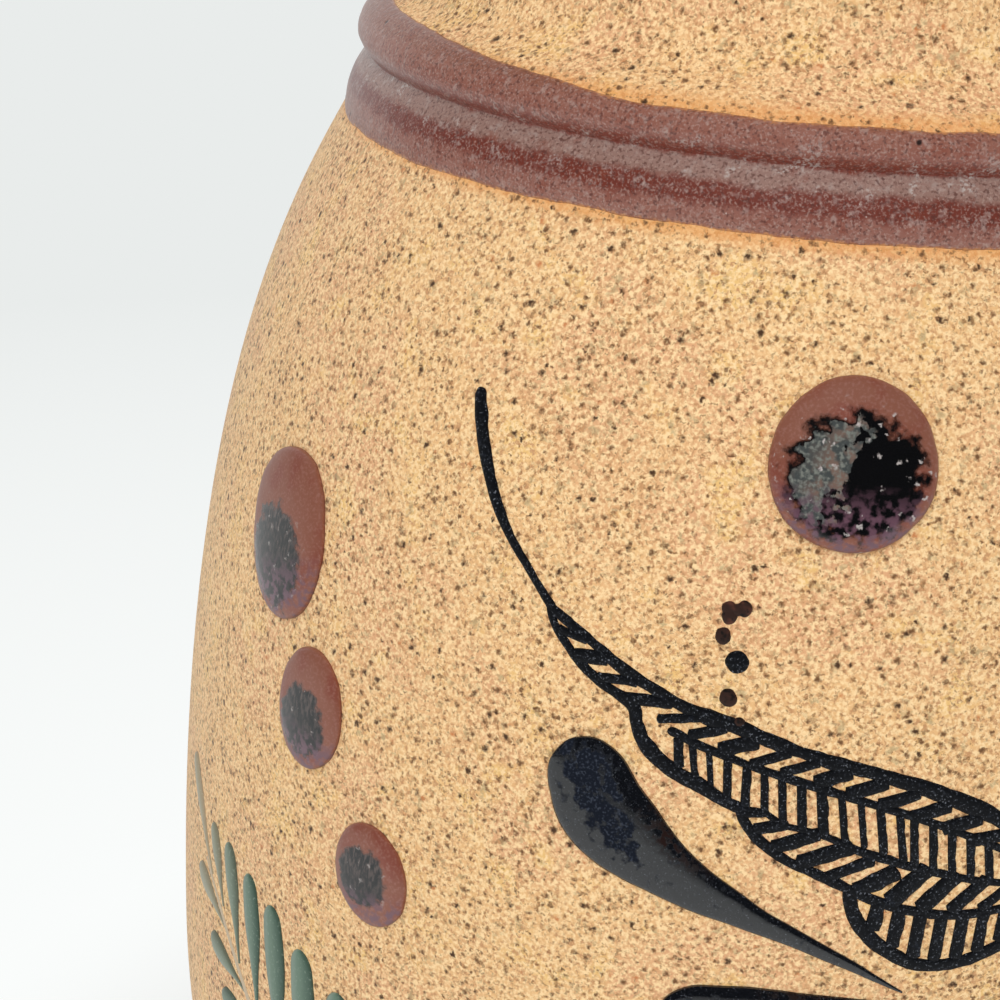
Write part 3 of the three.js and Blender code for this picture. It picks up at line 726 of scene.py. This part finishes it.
def dropPiece(name, drop, group):
    # a blob as one short, very wide stroke that runs from its foot to its top
    tilt = math.radians(drop["tilt"])
    t = -np.cos(np.linspace(0, math.pi, dropBrush["steps"] + 1))
    centre = np.stack([-np.sin(tilt) * t, np.cos(tilt) * t], 1) * drop["height"] / 2
    power = np.where(t > 0, drop["blunt"], 2.0)
    outline = np.sqrt(np.clip(1 - np.abs(t) ** power, 0, 1)) * drop["width"] / 2

    def mark(mesh, flat):
        right = (flat[:, 0] * math.cos(tilt) + flat[:, 1] * math.sin(tilt)) / drop["width"] * 2
        up = (-flat[:, 0] * math.sin(tilt) + flat[:, 1] * math.cos(tilt)) / drop["height"] * 2
        poolX, poolY, poolWidth, poolHeight = drop["pool"]
        slope, lean, start = drop["film"]
        writeField(mesh, "dropUp", up)
        writeField(mesh, "poolStreaks", up * 0 + drop["streaks"])
        # how far the grey film of painted reflection reaches
        writeField(mesh, "reflectionReach", slope * right + lean * up + start)
        writeField(mesh, "poolDistance", np.hypot(
            (right - poolX) / poolWidth, (up - poolY) / poolHeight))

    strokePiece(f"{name}_glaze", [(centre, outline)], drop, dropBrush, group, pooledMaterial,
                "pooled_glaze", name, mark, 0.3 * group + drop["turn"] * 0.01)


for group in range(groupCount):
    for name, drop in drops.items():
        dropPiece(name, drop, group)


# Brushed leaves: the loaded brush set down at the head and drawn out to the tip. A place is
# across, up and the half width there; dry is a patch's place, half length and width, and turn

leaves = {
    "brush_leaf_upper": {"turn": -92, "level": 146.96, "rise": 0.8,
                         "dry": (-12.5, -3.8, 6.4, 2.2, -55), "brown": (-3.9, -7.1, 3.8), "places": [
        (-15.6, 1.1, 4.5), (-14.6, -0.7, 4.5), (-13.4, -2.9, 4.55), (-11.9, -5.5, 4.9),
        (-9.5, -7.6, 4.7), (-7.2, -9.2, 4.0), (-4.6, -10.7, 3.25), (-1.6, -12.2, 2.6),
        (1.6, -13.5, 1.95), (5.0, -14.9, 1.35), (8.2, -16.2, 1.0), (11.4, -17.6, 0.78),
        (14.2, -18.9, 0.57), (16.8, -20.3, 0.35), (19.4, -21.8, 0.1)]},
    "brush_leaf_lower": {"turn": -86, "level": 119.0, "rise": 0.8,
                         "dry": (-8.0, 1.2, 5.0, 2.0, 8), "brown": (4.0, 4.4, 5.0), "places": [
        (-12.4, -0.2, 4.3), (-11.4, -0.1, 4.4), (-9.2, 0.3, 4.7), (-5.8, 0.8, 4.8),
        (-1.5, 1.4, 4.6), (3.0, 2.0, 3.9), (8.0, 2.6, 3.0), (13.0, 3.2, 2.0),
        (18.5, 3.8, 1.1), (24.6, 4.4, 0.15)]},
}
leafBrush = {"steps": 70, "sectionSteps": 28, "wobble": 0.3, "widthWobble": 0.12,
             "wobbleScale": 160.0, "dome": 0.62, "dryFade": 1.6, "brownFade": 1.4,
             "edgeFrom": 0.35, "edgeSteepness": 4}


def leafPiece(name, leaf, group):
    # a leaf with its dry patch and a brown stretch of edge
    def mark(mesh, flat):
        x, y, halfLong, halfShort, turn = leaf["dry"]
        c, s = math.cos(math.radians(turn)), math.sin(math.radians(turn))
        right, up = flat[:, 0] - x, flat[:, 1] - y
        off = np.hypot((c * right + s * up) / halfLong, (c * up - s * right) / halfShort)
        writeField(mesh, "dryHead", np.clip(leafBrush["dryFade"] - off, 0, 1))
        x, y, reach = leaf["brown"]
        off = np.hypot(flat[:, 0] - x, flat[:, 1] - y) / reach
        near = np.clip(leafBrush["brownFade"] - off, 0, 1)
        pastEdge = -readField(mesh, "acrossStroke") - leafBrush["edgeFrom"]
        upperEdge = np.clip(leafBrush["edgeSteepness"] * pastEdge, 0, 1)
        writeField(mesh, "brownSide", near * upperEdge)

    strokes = [strokeLine(leaf["places"], leafBrush["steps"], None, (True, False), 0.02)]
    strokePiece(f"{name}_glaze", strokes, leaf, leafBrush, group, blackMaterial, "black_glaze", name,
                mark, 0.2 * group)


for group in range(groupCount):
    for name, leaf in leaves.items():
        leafPiece(name, leaf, group)


# Green sprig: a thin stem and leaves pulled out of it with a full brush, widest near their tips.
# A leaf is its foot, its tip and its half width
sprig = {
    "turn": -136, "level": 107.72, "rise": 0.42, "jog": 0.35, "bend": 0.03,
    "stem": [(-15.5, -0.6, 0.25), (-11.0, -3.4, 0.32), (-7.3, -6.3, 0.36), (-3.6, -9.5, 0.4),
             (-0.9, -12.1, 0.42), (4.0, -16.6, 0.45), (9.5, -21.4, 0.48), (15.0, -25.8, 0.5),
             (20.0, -29.0, 0.5), (24.4, -31.4, 0.4)],
    "leaves": [
        ((-12.8, -1.6), (-23.4, 9.8), 1.25), ((-8.6, -3.6), (-13.0, 5.8), 1.35),
        ((-3.4, -8.6), (-7.7, 6.1), 1.7), ((1.6, -13.6), (-1.7, 5.2), 1.85),
        ((7.0, -18.6), (3.8, 4.0), 2.1), ((12.4, -23.2), (10.0, 1.5), 2.25),
        ((17.6, -27.4), (16.8, -0.6), 2.25), ((21.4, -29.8), (22.6, -5.2), 2.1),
        ((-7.6, -6.2), (-18.3, -3.4), 1.5), ((-1.6, -11.6), (-12.6, -10.3), 1.6),
        ((3.8, -16.4), (-8.4, -16.2), 1.75), ((9.2, -21.2), (-3.6, -22.4), 1.85),
        ((14.6, -25.4), (1.8, -27.8), 1.85), ((19.6, -28.8), (7.6, -32.4), 1.75)],
    "widths": [0.12, 0.15, 0.20, 0.27, 0.36, 0.47, 0.60, 0.74, 0.87, 0.96, 1.0, 1.0, 0.96, 0.90, 0.84],
}
sprigBrush = {
    "sectionSteps": 10, "wobble": 0.2, "widthWobble": 0.12, "wobbleScale": 200.0, "dome": 0.7,
    "fullRiseAt": 1.2,
    "loads": [0.12, 0.45, 0.7, 0.9, 1.0, 1.0, 1.0, 1.0, 1.0, 0.6, 0.85, 0.95, 1.0, 1.0, 1.0]}


def sprigStrokes(jog):
    # the strokes of one sprig; jog moves each tip a little, so that no two sprigs are alike
    strokes = [strokeLine(sprig["stem"], 60, None, (True, False), 3)]
    widths = np.array(sprig["widths"])[:, None]
    for (foot, tip, half), move in zip(sprig["leaves"], jog):
        foot, tip = np.array(foot), np.array(tip) + move
        sideways = np.array([tip[1] - foot[1], foot[0] - tip[0]])
        bend = (foot + tip) / 2 + sideways * sprig["bend"]
        line = bezierLine([foot, bend, tip], len(widths) - 1)
        strokes.append(strokeLine(np.hstack([line, half * widths]), 30, None, (False, True), 0.02))
    return strokes


random = np.random.default_rng(7)
for group in range(groupCount):
    jog = random.normal(0, sprig["jog"], (len(sprig["leaves"]), 2)) * min(group, 1)
    strokePiece("sprigSlip", sprigStrokes(jog), sprig, sprigBrush, group, greenMaterial,
                "green_slip", "sprig", seed=0.4 * group)


# Fine trailed lines: a whip line, the plume it runs into, and dots.
# Places are across and up, in a flat drawing at this turn and level

plume = {
    "turn": -95, "level": 152.0, "rise": 0.2,
    "whip": [(-29.6, 27.5, 0.8), (-28.8, 25.4, 0.85), (-28.0, 23.6, 0.84), (-27.1, 21.8, 0.80),
             (-26.1, 20.1, 0.75), (-24.8, 18.0, 0.68), (-23.0, 15.6, 0.58), (-21.2, 13.7, 0.50),
             (-19.3, 11.9, 0.46), (-17.6, 10.3, 0.46), (-16.0, 8.8, 0.5), (-15.0, 7.9, 0.35)],
    "topUpper": [(-16.4, 9.3), (-15.4, 8.8), (-13.1, 7.7), (-10.2, 6.2), (-7.2, 4.7), (-4.0, 3.3),
                 (-0.3, 2.0), (2.9, 1.3), (5.0, 1.0), (8.0, 0.0), (11.4, -1.0), (14.9, -1.8),
                 (18.0, -2.4), (24, -3.9), (31, -7.0), (38, -12.4), (41, -15.6)],
    "topLower": [(-16.5, 8.6), (-15.5, 7.9), (-13.2, 6.7), (-10.9, 5.6), (-8.1, 3.8), (-4.4, 2.3),
                 (-0.8, 0.9), (1.6, 0.2), (4.8, -0.5), (8.0, -1.4), (11.2, -2.1), (13.8, -2.8),
                 (17.5, -3.6), (23.6, -5.5), (30.6, -8.6), (37.8, -13.2), (41, -15.6)],
    "lobeOneOuter": [(-16.5, 8.7), (-15.6, 6.8), (-13.8, 4.9), (-11.8, 3.1), (-9.4, 1.8),
                     (-6.6, 0.4), (-5.9, -1.3), (-5.1, -3.1), (-3.3, -4.8), (-1.0, -6.1),
                     (1.7, -7.1), (3.9, -8.0), (5.6, -8.6)],
    "lobeOneInner": [(-15.9, 8.7), (-14.9, 7.2), (-13.1, 5.4), (-11.1, 3.8), (-8.7, 2.4),
                     (-5.5, 1.1), (-4.8, -0.7), (-3.8, -2.4), (-2.1, -3.8), (-0.1, -4.9),
                     (2.0, -5.6), (4.0, -6.8), (5.6, -7.4)],
    "lobeTwoOuter": [(5.1, -8.0), (5.6, -9.2), (6.4, -10.4), (7.9, -11.9), (10.1, -13.3),
                     (12.8, -14.4), (15.4, -15.5), (20, -17.4), (25, -18.5), (31, -18.3),
                     (41, -15.6)],
    "lobeTwoInner": [(5.9, -7.7), (6.6, -9.0), (7.4, -10.0), (8.8, -11.2), (10.6, -12.4),
                     (13.2, -13.5), (15.8, -14.5), (20.2, -16.4), (25, -17.5), (31, -17.4),
                     (41, -15.4)],
    "lobeThreeOuter": [(16.2, -15.6), (16.4, -17.0), (17.0, -18.8), (18.2, -20.7), (20.3, -22.6),
                       (24, -24.4), (29, -24.0), (35, -20.9), (41, -15.8)],
    "lobeThreeInner": [(17.4, -15.6), (17.7, -16.8), (18.2, -18.2), (19.3, -19.8), (21.2, -21.4),
                       (24.4, -23.1), (28.8, -22.7), (34.4, -19.8), (41, -15.4)],
    "midOne": [(-2.2, -1.0, 0.5), (0.1, -1.8, 0.5), (1.5, -2.2, 0.5), (3.2, -2.7, 0.45),
               (5.2, -3.2, 0.42), (7.8, -3.8, 0.45), (11.0, -4.5, 0.5), (14.3, -5.3, 0.5),
               (17.5, -6.1, 0.45), (24, -8.0, 0.45), (31, -10.9, 0.4), (41, -15.6, 0.2)],
    "midTwo": [(4.4, -7.6, 0.45), (5.8, -8.0, 0.4), (7.9, -8.1, 0.34), (9.8, -9.2, 0.34),
               (11.8, -9.5, 0.36), (14.0, -10.0, 0.38), (16.2, -10.9, 0.42), (18.4, -11.6, 0.5),
               (24, -13.2, 0.45), (31, -14.7, 0.4), (41, -15.6, 0.2)],
    "dots": {"black": [(3.7, 6.8, 1.15)],
             "iron": [(2.3, 11.9, 0.75), (2.5, 11.2, 0.85), (3.9, 12.1, 0.80), (3.2, 11.9, 0.6),
                      (2.1, 9.2, 0.85), (3.3, 3.2, 0.9), (4.6, 0.8, 0.6)]},
    "bandExtra": 0.05, "bandBluntness": 60, "hatchExtra": 0.04, "hatchLeast": 0.5,
    "hatchOver": 0.45, "hatchTaper": 0.15, "hatchSteps": 14,
}
trailBrush = {"sectionSteps": 10, "widthWobble": 0.5, "wobbleScale": 700.0, "fullRiseAt": 0.4,
              "dome": 0.45}


def bandBetween(upper, lower, steps):
    # one stroke that fills the strip between two drawn edges, with blunt ends
    share = np.linspace(0, 1, steps + 1)
    a, b = (np.stack([np.interp(share, np.linspace(0, 1, len(line)), side) for side in line.T], 1)
            for line in (smoothLine(upper), smoothLine(lower)))
    ends = np.sqrt(np.clip(1 - np.abs(2 * share - 1) ** plume["bandBluntness"], 0, 1))
    return (a + b) / 2, (np.linalg.norm(a - b, axis=1) / 2 + plume["bandExtra"]) * ends


def hatchBetween(bars):
    # the painted strokes between bare bars, each bar given by its two ends and its thickness
    lines = []
    for bar, after in zip(bars, bars[1:]):
        (a, b), (c, d) = (np.array(each[:2], float) for each in (bar, after))
        start, end = (a + c) / 2, (b + d) / 2
        way = (end - start) / np.linalg.norm(end - start)
        apart = (c + d - a - b) / 2
        gap = abs(apart[0] * way[1] - apart[1] * way[0]) - (bar[2] + after[2]) / 2
        start, end = start - way * plume["hatchOver"], end + way * plume["hatchOver"]
        width = max(gap + plume["hatchExtra"], plume["hatchLeast"])
        lines.append(strokeLine([start, (start + end) / 2, end], plume["hatchSteps"], width,
                                (False, False), plume["hatchTaper"]))
    return lines


def slantedBars(upper, lower, first, last, spacing, slant, thickness):
    # a generic run of bars between two edges, for the part of the plume that isn't in view
    upper, lower = (np.array(plume[edge])[:, :2].T for edge in (upper, lower))
    return [((x, np.interp(x, *lower)), (x + slant, np.interp(x + slant, *upper)), thickness)
            for x in np.arange(first, last, spacing)]


bars = [
    [((-16.6, 9.4), (-15.4, 8.6), 0.4), ((-15.2, 7.9), (-12.9, 6.7), 0.5),
     ((-13.5, 5.3), (-10.8, 5.8), 0.7), ((-11.0, 3.6), (-8.1, 3.8), 0.7),
     ((-8.3, 2.1), (-4.2, 2.4), 0.65), ((-5.1, 0.5), (-0.4, 1.0), 0.5),
     ((-1.0, -0.6), (1.6, 0.3), 0.55), ((1.4, -1.6), (4.8, -0.4), 0.8),
     ((5.2, -2.8), (8.0, -1.4), 0.65), ((7.7, -3.4), (11.2, -2.0), 0.7),
     ((11.2, -3.8), (13.6, -2.8), 0.55), ((14.3, -4.8), (17.5, -3.5), 0.65),
     ((17.5, -5.8), (20.8, -4.6), 0.65), ((20.7, -6.8), (24.0, -5.6), 0.65)],
    [((-1.6, -1.8), (-1.5, -4.2), 0.1), ((-0.4, -2.3), (0.1, -4.6), 0.5),
     ((1.2, -2.7), (1.8, -5.7), 1.0), ((2.9, -2.9), (3.5, -6.9), 0.95),
     ((5.0, -3.6), (5.1, -7.4), 0.95), ((6.8, -4.0), (7.0, -7.4), 0.95),
     ((8.4, -4.4), (8.9, -8.5), 0.95), ((10.3, -4.9), (10.7, -8.9), 1.05),
     ((12.2, -5.2), (12.7, -9.3), 0.9), ((14.3, -5.8), (14.9, -9.9), 1.05),
     ((16.1, -6.0), (16.9, -10.4), 1.1), ((18.0, -6.5), (18.7, -10.9), 1.05),
     ((20.0, -7.2), (20.7, -11.6), 1.0), ((21.9, -7.8), (22.6, -12.3), 1.0)],
    [((5.2, -8.0), (7.2, -7.6), 0.3), ((6.6, -9.0), (8.9, -8.7), 0.55),
     ((8.4, -10.8), (11.2, -9.5), 0.65), ((10.3, -12.3), (15.2, -10.3), 0.8),
     ((13.6, -13.7), (17.6, -11.6), 0.7), ((15.8, -14.9), (19.4, -13.0), 0.85),
     ((19.5, -16.2), (22.6, -13.9), 0.8)],
    slantedBars("topLower", "midOne", 20.7, 35, 3.2, 3.2, 0.65),
    slantedBars("midOne", "midTwo", 21.9, 36, 1.9, -0.5, 1.0),
    slantedBars("midTwo", "lobeTwoInner", 19.5, 34, 3.0, 3.0, 0.8),
    slantedBars("lobeTwoOuter", "lobeThreeInner", 18.4, 34, 2.1, 0.3, 0.8),
]
plumeStrokes = [bandBetween(plume[upper], plume[lower], steps) for upper, lower, steps in (
    ("topUpper", "topLower", 110), ("lobeOneOuter", "lobeOneInner", 80),
    ("lobeTwoOuter", "lobeTwoInner", 80), ("lobeThreeOuter", "lobeThreeInner", 70))]
plumeStrokes += [strokeLine(plume[key], 80) for key in ("midOne", "midTwo")]
for row in bars:
    plumeStrokes += hatchBetween(row)
blackDots, ironDots = ([strokeLine([(x, y + r), (x, y), (x, y - r)], 14, 2 * r) for x, y, r in dots]
                       for dots in plume["dots"].values())
whipStrokes = [strokeLine(plume["whip"], 60, None, (True, False), 1.0), *blackDots]

for group in range(groupCount):
    for label, strokes, wobble, material, slotName in (
            ("plumeLines", plumeStrokes, 0.25, blackLineMaterial, "black_glaze"),
            ("whipLine", whipStrokes, 0.25, blackLineMaterial, "black_glaze"),
            ("ironDots", ironDots, 0.3, dotMaterial, "iron_glaze")):
        strokePiece(label, strokes, plume, {**trailBrush, "wobble": wobble}, group, material,
                    slotName, seed=0.5 * group)


# Pale floor, soft studio light and the camera at the photograph's angle

studio = {
    "floor": "#F6F9F8", "nearWhite": "#FBFDFC", "farWhite": "#E9ECEB", "floorReach": 1600,
    "floorSteps": 96, "clear": (60, 160), "far": (140, 550),
    "darkening": (-950, -500),      # where the floor in front darkens in reflections
    "sky": 0.64, "glossFront": 0.03, "glossBehind": 0.9, "keyPower": 5.5, "keySize": 0.7,
    "keyPlace": (-0.10, -0.80, 0.90), "keyAim": (0, 0, 0.15),
}
floorTurn = np.linspace(0, math.tau, studio["floorSteps"], endpoint=False)
floorEdge = np.stack([np.cos(floorTurn), np.sin(floorTurn), floorTurn * 0], 1)
floorMesh = bpy.data.meshes.new("paleFloor")
floorMesh.from_pydata((floorEdge * studio["floorReach"] * mm).tolist(), [],
                      [tuple(range(studio["floorSteps"]))])
floor = bpy.data.objects.new("paleFloor", floorMesh)
bpy.context.scene.collection.objects.link(floor)

# Matt pale floor: it keeps the vase's shadow, and for the camera it clears to white further out
floorMaterial, add, place = newMaterial("mattPaleFloor")
matt = add("BsdfPrincipled", {"Base Color": linearColour(studio["floor"]), "Roughness": 0.9,
                              "Specular IOR Level": 0.1})
rays = add("LightPath").outputs
away = add("VectorMath LENGTH", [place]).outputs["Value"]
seen = rays["Is Camera Ray"]
for kind in ("Is Glossy Ray", "Is Transmission Ray"):
    seen = add("Math MAXIMUM", [seen, rays[kind]])
clear = add("MapRange", [away, *map(float, studio["clear"])], interpolation_type="SMOOTHSTEP")
clear = add("Math MULTIPLY", [clear, seen])
far = add("MapRange", [away, *map(float, studio["far"])])
toFront = add("SeparateXYZ", [place]).outputs[1]
fade = add("MapRange", [toFront, *map(float, studio["darkening"]), studio["glossFront"]])
glow = add("Emission", {
    "Color": layColours(add, studio, "nearWhite", [(far, "farWhite")]),
    "Strength": add("Math MAXIMUM", [rays["Is Camera Ray"], fade])})
add("OutputMaterial", {"Surface": add("MixShader", [clear, matt, glow])})
floorMesh.materials.append(floorMaterial)

# Soft sky. For glossy rays it is bright behind the vase and dark in front, as a studio is
world = bpy.data.worlds.new("softStudio")
bpy.context.scene.world = world
world.use_nodes = True
world.node_tree.nodes.clear()
add = partial(addNode, world.node_tree)
rays = add("LightPath").outputs
aim = add("SeparateXYZ", [add("TexCoord").outputs["Generated"]]).outputs
gloss = add("MapRange", [aim[1], 0.1, 0.5, studio["glossFront"], studio["glossBehind"]])
power = add("Mix", {0: rays["Is Glossy Ray"], 2: studio["sky"], 3: gloss})
sky = add("Background", {"Color": (1, 1, 1, 1), "Strength": power})
backdrop = add("Background", {"Color": linearColour(studio["farWhite"]), "Strength": 1.0})
add("OutputWorld", {"Surface": add("MixShader", [rays["Is Camera Ray"], sky, backdrop])})

keyData = bpy.data.lights.new("keyLight", "AREA")
keyData.energy = studio["keyPower"]
keyData.size = studio["keySize"]
keyLight = bpy.data.objects.new("keyLight", keyData)
keyLight.location = studio["keyPlace"]
keyAim = Vector(studio["keyAim"]) - Vector(studio["keyPlace"])
keyLight.rotation_euler = keyAim.to_track_quat("-Z", "Y").to_euler()
keyLight.visible_glossy = False
bpy.context.scene.collection.objects.link(keyLight)

view = {
    "place": (0, -245.28, 248.56), "right": (0.98397, 0.17189, 0.04756),
    "up": (-0.11134, 0.38368, 0.91674), "forward": (-0.139327, 0.907327, -0.396667),
    "lens": 72, "sensor": 36,
}
cameraData = bpy.data.cameras.new("camera")
cameraData.lens = view["lens"]
cameraData.sensor_width = view["sensor"]
camera = bpy.data.objects.new("camera", cameraData)
turnTo = Matrix([view["right"], view["up"], [-v for v in view["forward"]]]).transposed()
camera.matrix_world = Matrix.Translation(Vector(view["place"]) * mm) @ turnTo.to_4x4()
bpy.context.scene.collection.objects.link(camera)
bpy.context.scene.camera = camera
bpy.context.scene.view_settings.view_transform = "Standard"
print("studio ready")
